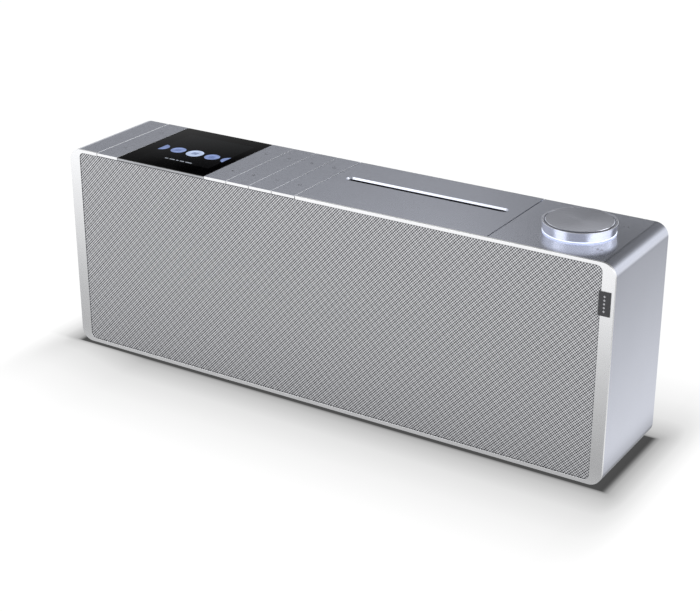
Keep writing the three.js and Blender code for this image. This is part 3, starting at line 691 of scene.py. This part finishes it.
# ---------------------------------------------------------------- top
def slot_plate():
    """The plate with the disc slot. The slot's rim slopes inwards, so its far side catches the light."""
    low, high = limits("slot_plate")
    guide_low, guide_high = limits("disc_guide")
    margin = 5.6
    slope_width = 0.9
    slope_depth = 1.25
    x0, x1 = guide_low.x + margin, guide_high.x - margin
    y0, y1 = guide_low.y + margin, guide_high.y - margin
    radius = (y1 - y0) / 2 - 0.01
    plate = rectangle(low.x, high.x, BEZEL_BACK, high.y)
    upper = prism(plate, TOP - slope_depth, TOP, "Z", [rectangle(x0, x1, y0, y1, radius, 16)])
    bevel(upper, 0.2, 2, lambda p: abs(p.z - TOP) < 0.01 and (p.x < low.x + 0.01 or p.x > high.x - 0.01))
    for v in upper.verts:
        pivot_x = min(max(v.co.x, x0 + radius), x1 - radius)
        outward = Vector((v.co.x - pivot_x, v.co.y - (y0 + y1) / 2, 0))
        if outward.length < radius + 0.01 and v.co.z < TOP - slope_depth + 0.01:
            v.co -= outward.normalized() * slope_width
    inset = slope_width
    lower = prism(plate, low.z, TOP - slope_depth, "Z",
                  [rectangle(x0 + inset, x1 - inset, y0 + inset, y1 - inset, radius - inset, 16)])
    piece("slot_cover", merge(upper, lower), "satin_aluminium", replaces=["slot_plate"])


def ring_mark(x, y, radius, width):
    return [prism(circle(x, y, radius, 32), TOP - 0.05, TOP + DECAL, "Z", [circle(x, y, radius - width, 32)])]


def bar_mark(x, y, half_x, half_y):
    return [prism(rectangle(x - half_x, x + half_x, y - half_y, y + half_y), TOP - 0.05, TOP + DECAL, "Z")]


def arrow_mark(x, y, size):
    """A small triangle that points to the right."""
    return [prism([(x - size / 2, y - size * 0.6), (x + size / 2, y), (x - size / 2, y + size * 0.6)],
                  TOP - 0.05, TOP + DECAL, "Z")]


def key_marks(number, x, y, rear):
    """The small printed sign near one end of a key: generic shapes, one kind for each key."""
    if number == 1:
        lines = bar_mark(x, y, 1.6, 0.22) + bar_mark(x, y + 1, 1.1, 0.22)
        return ring_mark(x, y, 1.5, 0.35) if rear else lines
    if number == 2:
        return arrow_mark(x + (-1.2 if rear else 1.2), y, 1.7) + bar_mark(x, y, 0.2, 1.1)
    if number == 3:
        pair = bar_mark(x - 0.7, y, 0.28, 1.1) + bar_mark(x + 0.7, y, 0.28, 1.1)
        return pair if rear else arrow_mark(x, y, 2.1)
    if number == 4:
        return bar_mark(x, y, 1.4, 0.24) + (bar_mark(x, y, 0.24, 1.4) if rear else [])
    return ring_mark(x, y, 1.3, 0.32) + (bar_mark(x + 2, y, 0.24, 1.1) if rear else [])


def key_bar(number):
    """A full-depth metal key with a cut on its right, bright with a painted highlight, and its web and
    plungers below.
    """
    node = f"key_{number}"
    low, high = limits(node)
    underside = TOP - KEY_THICKNESS
    edge = high.x + 0.1
    cut = 0.05 if number == 1 else CUT_WIDTH
    depth = cut * CUT_DEPTH / CUT_WIDTH
    profile = [
        (low.x, underside), (edge, underside), (edge, TOP - depth), (edge - cut, TOP), (low.x, TOP),
    ]
    bm = prism(profile, low.y, high.y, "Y")
    taper_cut(bm, edge, cut, depth, high.y)
    # painted highlight: the cut on the key's right gets the brighter metal
    paint_cut_highlight(bm, edge)
    for face in bm.faces:
        if face.normal.y < -0.9:
            face.material_index = 1
    web = prism(rectangle(-0.8, 0.8, low.z + 1.2, underside), low.x + 3, high.x - 3, "X")
    knuckle = lathe([(0, low.x + 3), (1.2, low.x + 3), (1.2, high.x - 3), (0, high.x - 3)],
                    (0, low.z + 1.2), "X", 24)
    centre = (low.x + high.x) / 2
    plungers = [prism(circle(centre, y, 1.5, 20), low.z + 1.6, underside, "Z") for y in (-30, 30)]
    piece(f"key_bar_{number}", merge(bm, web, knuckle, *plungers), "satin_aluminium", node, [node],
          second=MATERIALS["bright_aluminium"])
    marks = key_marks(number, centre, -21, False) + key_marks(number, centre, 21, True)
    piece(f"key_marks_{number}", merge(*marks), "satin_aluminium", node, material=DARK_INK_AND_SHADE)


def knob_marks():
    """Two pairs of small chevrons beside the knob."""
    marks = []
    for x, y in ((KNOB_X + 22.1, 21.3), (KNOB_X + 23.9, -23.3)):
        for dx in (-1.3, 1.3):
            tip = x + dx + 0.8
            chevron = [
                (tip - 1.5, y - 1.3), (tip - 0.9, y - 1.3), (tip, y),
                (tip - 0.9, y + 1.3), (tip - 1.5, y + 1.3), (tip - 0.6, y),
            ]
            marks.append(prism(chevron, TOP - 0.05, TOP + DECAL, "Z"))
    piece("knob_marks", merge(*marks), "satin_aluminium", material=DARK_INK_AND_SHADE)


def display():
    """The glass, its screen with round signs and caption bars, and the strip in front."""
    low, high = limits("display_glass")
    brow = [
        (FRONT + 0.05, TOP - 0.4), (FRONT + 0.05, TOP), (high.y, TOP), (high.y, low.z), (low.y, low.z),
        (low.y, TOP - 0.4),
    ]
    bm = prism(brow, low.x, high.x, "X")
    bevel(bm, 0.12, 2, lambda p: p.z > TOP - 0.01)
    piece("display_pane", bm, "black_glass", replaces=["display_glass"])
    middle_x = (low.x + high.x) / 2
    left, right = middle_x - 26.1, middle_x + 30.35
    near, far = -25.5, 29.0
    sheet = TOP + DECAL
    piece("screen", prism(rectangle(left, right, near, far, 0.8, 4), TOP - 0.05, sheet, "Z"),
          "black_glass", material=SCREEN)
    row = -4.8
    signs = ((-26.4, 5.6), (-11.7, 5.6), (2.9, 6.5), (17.9, 5.6), (32.0, 5.6))
    for i, (offset, radius) in enumerate(signs):
        x = middle_x + offset
        outline = [(min(max(a, left), right), b) for a, b in circle(x, row, radius, 64)]
        clipped = list(dict.fromkeys(outline))
        lamp = LAMP_WHITE if i == 2 else LAMP_BLUE
        disc = prism(clipped, sheet - 0.01, sheet + DECAL, "Z")
        piece(f"screen_sign_{i + 1}", disc, "black_glass", material=lamp)
        if 0 < i < 4:
            glyph = [prism(rectangle(x - 2.4, x + 2.4, row + k - 0.35, row + k + 0.35, 0.3, 3),
                           sheet, sheet + 2 * DECAL, "Z") for k in (-1.4, 0, 1.4)]
            piece(f"screen_glyph_{i + 1}", merge(*glyph), "black_glass", material=LAMP_DIM)
    bars = []
    x = middle_x - 9.2
    for width in (2.9, 4.5, 2.0, 3.6, 5.6):
        bars.append(prism(rectangle(x, x + width, -24.0, -22.8, 0.4, 3), sheet - 0.01, sheet + DECAL, "Z"))
        x += width + 1.2
    piece("caption_bars", merge(*bars), "black_glass", material=LAMP_TEXT)
    trim_low, trim_high = limits("display_trim")
    strip = rectangle(trim_low.x, trim_high.x, trim_low.z, TOP - 0.45)
    trim = prism(strip, trim_low.y, trim_high.y, "Y")
    bevel(trim, 0.15, 2, at_level("Y", trim_low.y))
    piece("display_strip", trim, "grey_plastic", replaces=["display_trim"])


# ---------------------------------------------------------------- knob
def knob():
    """The turning wall, a little wider at its rim, the pressing cap in it, and the lit ring under them."""
    low, high = limits("knob_ring")
    radius = (high.x - low.x) / 2
    foot = radius - 0.7
    cap_low, cap_high = limits("knob_cap")
    cap_radius = (cap_high.x - cap_low.x) / 2
    light_low, light_high = limits("light_ring")
    light_radius = (light_high.x - light_low.x) / 2
    wall = cap_radius + 0.6
    skirt = light_high.z + 0.3
    centre = (KNOB_X, 0)
    ring = rounded_path([
        (1.9, low.z, 0), (3, low.z, 0), (3, TOP + 2.2, 0), (wall - 1, TOP + 2.2, 0),
        (wall - 1, skirt, 0.15),
        (foot, skirt, 0.12), (radius, high.z, 0.25), (wall, high.z, 0.2), (wall, TOP + 3.6, 0.3),
        (1.9, TOP + 3.6, 0),
    ], 5)
    piece("knob_wall", lathe(ring, centre, closed=True), "turned_aluminium", "knob_ring", ["knob_ring"])
    dish = 0.25
    dish_radius = cap_radius - 0.35
    bowl = [(dish_radius * k / 12, cap_high.z - dish * (1 - (k / 12) ** 2)) for k in range(13)]
    cap = [(0, cap_low.z), (1.5, cap_low.z), (1.5, TOP + 5), (cap_radius, TOP + 5)]
    cap += [(cap_radius, cap_high.z - 0.35), *reversed(bowl)]
    piece("knob_dish", lathe(cap, centre), "turned_aluminium", "knob_cap", ["knob_cap"])
    glow = rounded_path([
        (light_radius - 3, light_low.z, 0), (light_radius - 0.6, light_low.z, 0.1),
        (light_radius, light_low.z + 0.15, 0.05), (light_radius, light_high.z, 0.1),
        (light_radius - 3, light_high.z, 0),
    ], 5)
    piece("glow_ring", lathe(glow, centre, closed=True), "light_plastic", replaces=["light_ring"])


# ---------------------------------------------------------------- rear and underside
def rear_cover():
    """The black back, with two fields of vent slots beside the socket plate and the port."""
    low, high = limits("rear_panel")
    port = middle("bass_port")
    inlet_low, inlet_high = limits("mains_inlet")
    plate_low, plate_high = limits("socket_plate")
    gap = CONTACT_GAP
    holes = [
        circle(port.x, port.z, 17 + gap, 64),
        rectangle(inlet_low.x - gap, inlet_high.x + gap, inlet_low.z - gap, inlet_high.z + gap),
        rectangle(plate_low.x - gap, plate_high.x + gap, plate_low.z - gap, plate_high.z + gap),
    ]
    for x0 in (-176, 96):
        for row in range(9):
            for column in range(4):
                x = x0 + column * 20
                z = 92 + row * 5
                holes.append(rectangle(x, x + 16, z, z + 2, 0.99, 4))
    outline = rectangle(low.x, high.x, low.z, high.z, CORNER_RADIUS - WALL, 12)
    bm = prism(outline, low.y, high.y, "Y", holes)
    bevel(bm, 0.2, 2, at_level("Y", high.y))
    piece("rear_cover", bm, "black_plastic", replaces=["rear_panel"])


def socket_bracket():
    low, high = limits("socket_plate")
    gap = CONTACT_GAP
    holes = []
    for name in ("antenna_socket", "network_socket", "usb_socket", "optical_socket", "audio_jacks"):
        a, b = limits(name)
        holes.append(rectangle(a.x - gap, b.x + gap, a.z - gap, b.z + gap, 0.3, 3))
    bm = prism(rectangle(low.x, high.x, low.z, high.z, 1.2, 5), low.y, high.y, "Y", holes)
    bevel(bm, 0.15, 2, at_level("Y", high.y))
    piece("socket_bracket", bm, "steel", replaces=["socket_plate"])


def bass_port():
    """A flared tube: its mouth opens on a wide radius."""
    low, high = limits("bass_port")
    centre = middle("bass_port")
    bore = 15.0
    flange = (high.x - low.x) / 2
    seat = limits("rear_panel")[1].y + 0.3
    flare = 6.0
    angles = [k * math.pi / 24 for k in range(13)]
    mouth = [
        (bore + flare * (1 - math.cos(t)) * 0.62, high.y - 0.1 - flare * (1 - math.sin(t))) for t in angles
    ]
    profile = [(bore, low.y), *mouth]
    profile += rounded_path([(bore + 3.8, high.y, 0), (flange, high.y - 0.1, 0.8), (flange, seat, 0)], 6)
    profile += [(bore + 2, seat), (bore + 2, low.y + 0.4), (bore + 1.6, low.y)]
    piece("port_flare", lathe(profile, (centre.x, centre.z), "Y", 96, closed=True), "black_plastic",
          replaces=["bass_port"])


def antenna():
    """A threaded barrel with its centre contact."""
    low, high = limits("antenna_socket")
    centre = middle("antenna_socket")
    at = (centre.x, centre.z)
    face = limits("socket_plate")[1].y
    radius = (high.x - low.x) / 2
    barrel = [(0, low.y), (radius, low.y), (radius, face + 0.2)]
    pitch = 0.32
    turns = int((high.y - face - 0.3) / pitch)
    for k in range(turns):
        y = face + 0.2 + k * pitch
        barrel += [(radius - 0.22, y + pitch / 2), (radius, y + pitch)]
    barrel += [
        (radius - 0.3, high.y), (radius - 0.9, high.y), (radius - 0.9, high.y - 8), (0, high.y - 8),
    ]
    piece("antenna_barrel", lathe(barrel, at, "Y", 48), "steel", replaces=["antenna_socket"])
    pin = lathe([(0, high.y - 8), (1.1, high.y - 8), (1.1, high.y - 1.4), (0.7, high.y - 1), (0, high.y - 1)],
                at, "Y", 24)
    piece("antenna_pin", pin, "steel", material=GOLD)


def contacts():
    """The springs in the network socket and the collars of the audio jacks."""
    face = middle("network_socket")
    low, high = limits("network_socket")
    springs = []
    for k in range(8):
        x = face.x + (k - 3.5) * 1.02
        springs.append(prism(
            [(low.y + 3.9, 37.6), (high.y - 2.2, 36.4), (high.y - 1.6, 36.9), (high.y - 2.2, 36.8),
             (low.y + 3.9, 37.95)], x - 0.22, x + 0.22, "X",
        ))
    piece("network_springs", merge(*springs), "steel", material=GOLD)
    jack_z = middle("audio_jacks").z
    jack_face = limits("audio_jacks")[1].y
    for side, x in (("left", -105), ("right", -95)):
        ring = [
            (1.8, jack_face - 4), (2.4, jack_face - 4), (2.4, jack_face + 0.2), (3.4, jack_face + 0.2),
            (3.4, jack_face + 0.9), (2.2, jack_face + 0.9), (1.8, jack_face + 0.5),
        ]
        piece(f"jack_collar_{side}", lathe(ring, (x, jack_z), "Y", 40, closed=True), "steel", material=GOLD)


def foot_pad(number):
    """A rubber foot: a disc with a rounded rim and two grooves in its sole."""
    node = f"foot_{number}"
    low, high = limits(node)
    centre = (low + high) / 2
    radius = (high.x - low.x) / 2
    profile = rounded_path([
        (0, 0.25, 0), (3, 0.25, 0.1), (3, 0, 0.1), (4, 0, 0.1), (4, 0.35, 0.1), (5, 0.35, 0.1), (5, 0, 0.1),
        (radius - 0.1, 0, 0.5), (radius, high.z, 0.15), (0, high.z, 0),
    ], 4)
    piece(f"foot_pad_{number}", lathe(profile, (centre.x, centre.y), "Z", 64), "rubber", replaces=[node])


def rear_screw(number):
    """A domed screw, its cross recess drawn as a dark cross: painted shade in place of the hollow."""
    node = f"rear_screw_{number}"
    low, high = limits(node)
    centre = (low + high) / 2
    radius = (high.x - low.x) / 2
    rim = low.y + 0.4
    angles = [k * math.pi / 16 for k in range(8)]
    dome = [(radius * math.cos(t), rim + (high.y - rim) * math.sin(t)) for t in angles]
    head = lathe([(0, low.y), (radius, low.y), *dome, (0, high.y)], (centre.x, centre.z), "Y", 40)
    piece(f"rear_screw_head_{number}", head, "steel", replaces=[node])
    halves = ((1.6, 0.3), (0.3, 1.6))
    arms = [rectangle(centre.x - a, centre.x + a, centre.z - b, centre.z + b, 0.2, 3) for a, b in halves]
    # painted shade: a dark cross stands in for the hollow of the recess, which is not cut
    recess = merge(*[prism(arm, high.y - 0.3, high.y + 0.02, "Y") for arm in arms])
    piece(f"rear_screw_cross_{number}", recess, "steel", material=DARK_INK_AND_SHADE)


def carried_over():
    """Every CAD node that stays gets the finish of its record slot."""
    for part in RECORD["subparts"]:
        node = NODES[part["node"]]
        if node.material_slots:
            node.material_slots[0].material = MATERIALS[part["material_slot"]]
        else:
            node.data.materials.append(MATERIALS[part["material_slot"]])


# ---------------------------------------------------------------- stage
def camera():
    data = bpy.data.cameras.new("camera")
    data.lens = 82.56
    data.sensor_width = 36
    made = bpy.data.objects.new("camera", data)
    made.location = (0.54074, -0.85997, 0.50475)
    made.rotation_euler = (math.radians(66.43), 0, math.radians(32.16))
    bpy.context.scene.collection.objects.link(made)
    bpy.context.scene.camera = made


def softbox(name, azimuth, elevation, distance, width, height, radiance, aim=(0, 0, 0.1)):
    """A rectangular light aimed at the object; azimuth runs anticlockwise from +X."""
    data = bpy.data.lights.new(name, "AREA")
    data.shape = "RECTANGLE"
    data.size = width
    data.size_y = height
    data.energy = radiance * math.pi * width * height
    made = bpy.data.objects.new(name, data)
    turn, lift = math.radians(azimuth), math.radians(elevation)
    target = Vector(aim)
    ray = Vector((math.cos(turn) * math.cos(lift), math.sin(turn) * math.cos(lift), math.sin(lift)))
    made.location = target + ray * distance
    made.rotation_euler = (-ray).to_track_quat("-Z", "Y").to_euler()
    bpy.context.scene.collection.objects.link(made)
    return made


def flat_stage(name, size, height, material):
    bm = bmesh.new()
    bmesh.ops.create_grid(bm, x_segments=1, y_segments=1, size=size / 2)
    bmesh.ops.translate(bm, vec=(0, 0, height), verts=bm.verts)
    mesh = bpy.data.meshes.new(name)
    bm.to_mesh(mesh)
    bm.free()
    mesh.materials.append(material)
    made = bpy.data.objects.new(name, mesh)
    bpy.context.scene.collection.objects.link(made)
    return made


def floor():
    """A white floor that shines by itself, with the soft shadow drawn on it.

    The shadow is a gradient of the distance from the cabinet.
    """
    shade = Finish("floor", Emission_Color=(1.0, 1.0, 1.0, 1.0), Roughness=1.0)
    shade.colour((0.0, 0.0, 0.0, 1.0))
    x, y, _ = shade.axes()
    aside = shade.maths("MAXIMUM", shade.maths("SUBTRACT", shade.maths("ABSOLUTE", x), SIDE), 0.0)
    ahead = shade.maths("MAXIMUM", shade.maths("SUBTRACT", shade.maths("ABSOLUTE", y), -FRONT), 0.0)
    steeper = shade.maths("MULTIPLY", shade.maths("MULTIPLY", aside, aside), 0.085)
    squares = shade.maths("MULTIPLY_ADD", steeper, steeper, shade.maths("MULTIPLY", ahead, ahead))
    near_left_end = shade.remap(x, 14, 0, 10 - SIDE, 60 - SIDE)
    lit_end = shade.maths("MULTIPLY", near_left_end, shade.remap(ahead, 0, 1, 0, 4))
    distance = shade.maths("ADD", shade.maths("SQRT", squares), lit_end)
    stops = (
        (0, 0.06), (1, 0.28), (3, 0.44), (10, 0.56), (30, 0.77), (60, 0.9), (100, 1.0),
    )
    shadow = shade.ramp(shade.maths("DIVIDE", distance, 100), *((d / 100, (v, v, v)) for d, v in stops))
    shade.feed(shade.shader.inputs["Emission Strength"], shadow)
    ground = flat_stage("floor", 12.0, 0.0, shade.material)
    ground.visible_glossy = False


def reflected_floor():
    """A sheet just over the floor that only reflections see, with a gradient of its own: a painted reflection
    of the floor, darkest next to the cabinet, where it stands in for the floor's shadow.
    """
    glow = Finish("floor_glow", Emission_Color=(1.0, 1.0, 1.0, 1.0), Roughness=1.0)
    glow.colour((0.0, 0.0, 0.0, 1.0))
    x, y, _ = glow.axes()
    # painted reflection in front: darkest near the cabinet, where it stands in for the floor's shadow, and a
    # little brighter on the left
    ahead = glow.maths("DIVIDE", glow.maths("SUBTRACT", FRONT, y), 400)
    front = glow.ramp(ahead, (0, (0.42,) * 3), (0.06, (0.34,) * 3), (0.3, (0.44,) * 3), (0.9, (0.9,) * 3),
                      (1, (0.95,) * 3))
    lean = glow.remap(x, 1.27, 1.13, -SIDE, SIDE)
    # painted reflection beside the right end: dark at the cabinet, then a bright band, a dim band and
    # brighter again
    aside = glow.maths("DIVIDE", glow.maths("SUBTRACT", x, SIDE), 500)
    right = glow.ramp(aside, (0, (0.3,) * 3), (0.03, (0.93,) * 3), (0.32, (0.4,) * 3), (0.6, (0.7,) * 3),
                      (1, (1.0,) * 3))
    beside = glow.maths("GREATER_THAN", x, SIDE - 2)
    not_beside = glow.maths("SUBTRACT", 1.0, beside)
    elsewhere = glow.maths("MULTIPLY", glow.maths("MULTIPLY", front, lean), not_beside)
    strength = glow.maths("MULTIPLY_ADD", right, beside, elsewhere)
    glow.feed(glow.shader.inputs["Emission Strength"], strength)
    sheet = flat_stage("floor_glow", 12.0, 0.0004, glow.material)
    sheet.visible_camera = False
    sheet.visible_diffuse = False
    sheet.visible_shadow = False
    sheet.visible_transmission = False


def back_wall(low, shoulder, upper):
    """A band on the horizon, its shoulder under a dark strip, and a soft light over the strip."""
    return (
        (0.0, low), (0.25, shoulder), (0.29, shoulder / 2), (0.315, 0.0), (0.33, 0.0),
        (0.42, upper), (0.5, upper * 0.7), (1.0, 0.2),
    )


def world():
    """Studio surroundings: white for the camera, gradients of height for everything else.

    The front is bright nearly all the way up. The back has a bright low band, a dark strip just above it
    and, towards the left only, a soft upper light.
    """
    made = bpy.data.worlds.new("studio")
    made.use_nodes = True
    tree = made.node_tree
    nodes, links = tree.nodes, tree.links
    background = nodes["Background"]
    direction = nodes.new("ShaderNodeTexCoord")
    split = nodes.new("ShaderNodeSeparateXYZ")
    links.new(direction.outputs["Generated"], split.inputs[0])
    brightest = 1.4

    def gradient(stops):
        band = nodes.new("ShaderNodeValToRGB")
        elements = band.color_ramp.elements
        while len(elements) < len(stops):
            elements.new(1.0)
        for element, (position, value) in zip(elements, stops):
            share = value / brightest
            element.position = position
            element.color = (share * 0.985, share * 0.99, share, 1)
        links.new(split.outputs["Z"], band.inputs[0])
        return band.outputs[0]

    def blend(first, second, factor):
        mix = nodes.new("ShaderNodeMix")
        mix.data_type = "RGBA"
        links.new(factor, mix.inputs["Factor"])
        links.new(first, mix.inputs["A"])
        links.new(second, mix.inputs["B"])
        return mix.outputs["Result"]

    def between(axis, start, end):
        share = nodes.new("ShaderNodeMapRange")
        links.new(split.outputs[axis], share.inputs["Value"])
        share.inputs["From Min"].default_value = start
        share.inputs["From Max"].default_value = end
        return share.outputs[0]

    front = gradient(((0.0, 0.85), (0.4, 0.85), (0.9, 0.25), (1.0, 0.1)))
    right = gradient(((0.0, 0.95), (0.25, 0.95), (0.4, 0.3), (0.5, 0.15), (1.0, 0.1)))
    back_left = gradient(back_wall(0.85, 0.45, 0.95))
    back_middle = gradient(back_wall(0.9, 0.65, 1.1))
    back_right = gradient(back_wall(1.1, 1.35, 0.0))
    back = blend(back_left, back_middle, between("X", -0.52, -0.43))
    back = blend(back, back_right, between("X", -0.43, -0.345))
    back = blend(back, right, between("X", -0.345, -0.1))
    around = blend(front, back, between("Y", 0.0, 0.6))
    path = nodes.new("ShaderNodeLightPath")
    white = nodes.new("ShaderNodeRGB")
    white.outputs[0].default_value = (1, 1, 1, 1)
    links.new(blend(around, white.outputs[0], path.outputs["Is Camera Ray"]), background.inputs["Color"])
    background.inputs["Strength"].default_value = 1.1 * brightest
    bpy.context.scene.world = made


def lights():
    softbox("left_light", 236, 32, 1.7, 1.1, 1.0, 1.5)
    softbox("right_light", 8, 32, 1.7, 2.4, 0.9, 1.65)
    overhead = softbox("overhead", 60, 70, 1.8, 1.6, 1.6, 2.2)
    overhead.visible_glossy = False


# ---------------------------------------------------------------- assembly
camera()
carried_over()
cabinet_shell()
bezel_face()
grille_cloth()
grille_back_frame()
ribbon_tag()
slot_plate()
display()
for key in range(1, KEY_COUNT + 1):
    key_bar(key)
knob_marks()
knob()
rear_cover()
socket_bracket()
bass_port()
antenna()
contacts()
for corner in range(1, 5):
    foot_pad(corner)
    rear_screw(corner)
floor()
reflected_floor()
world()
lights()
bpy.context.scene.view_settings.view_transform = "Standard"
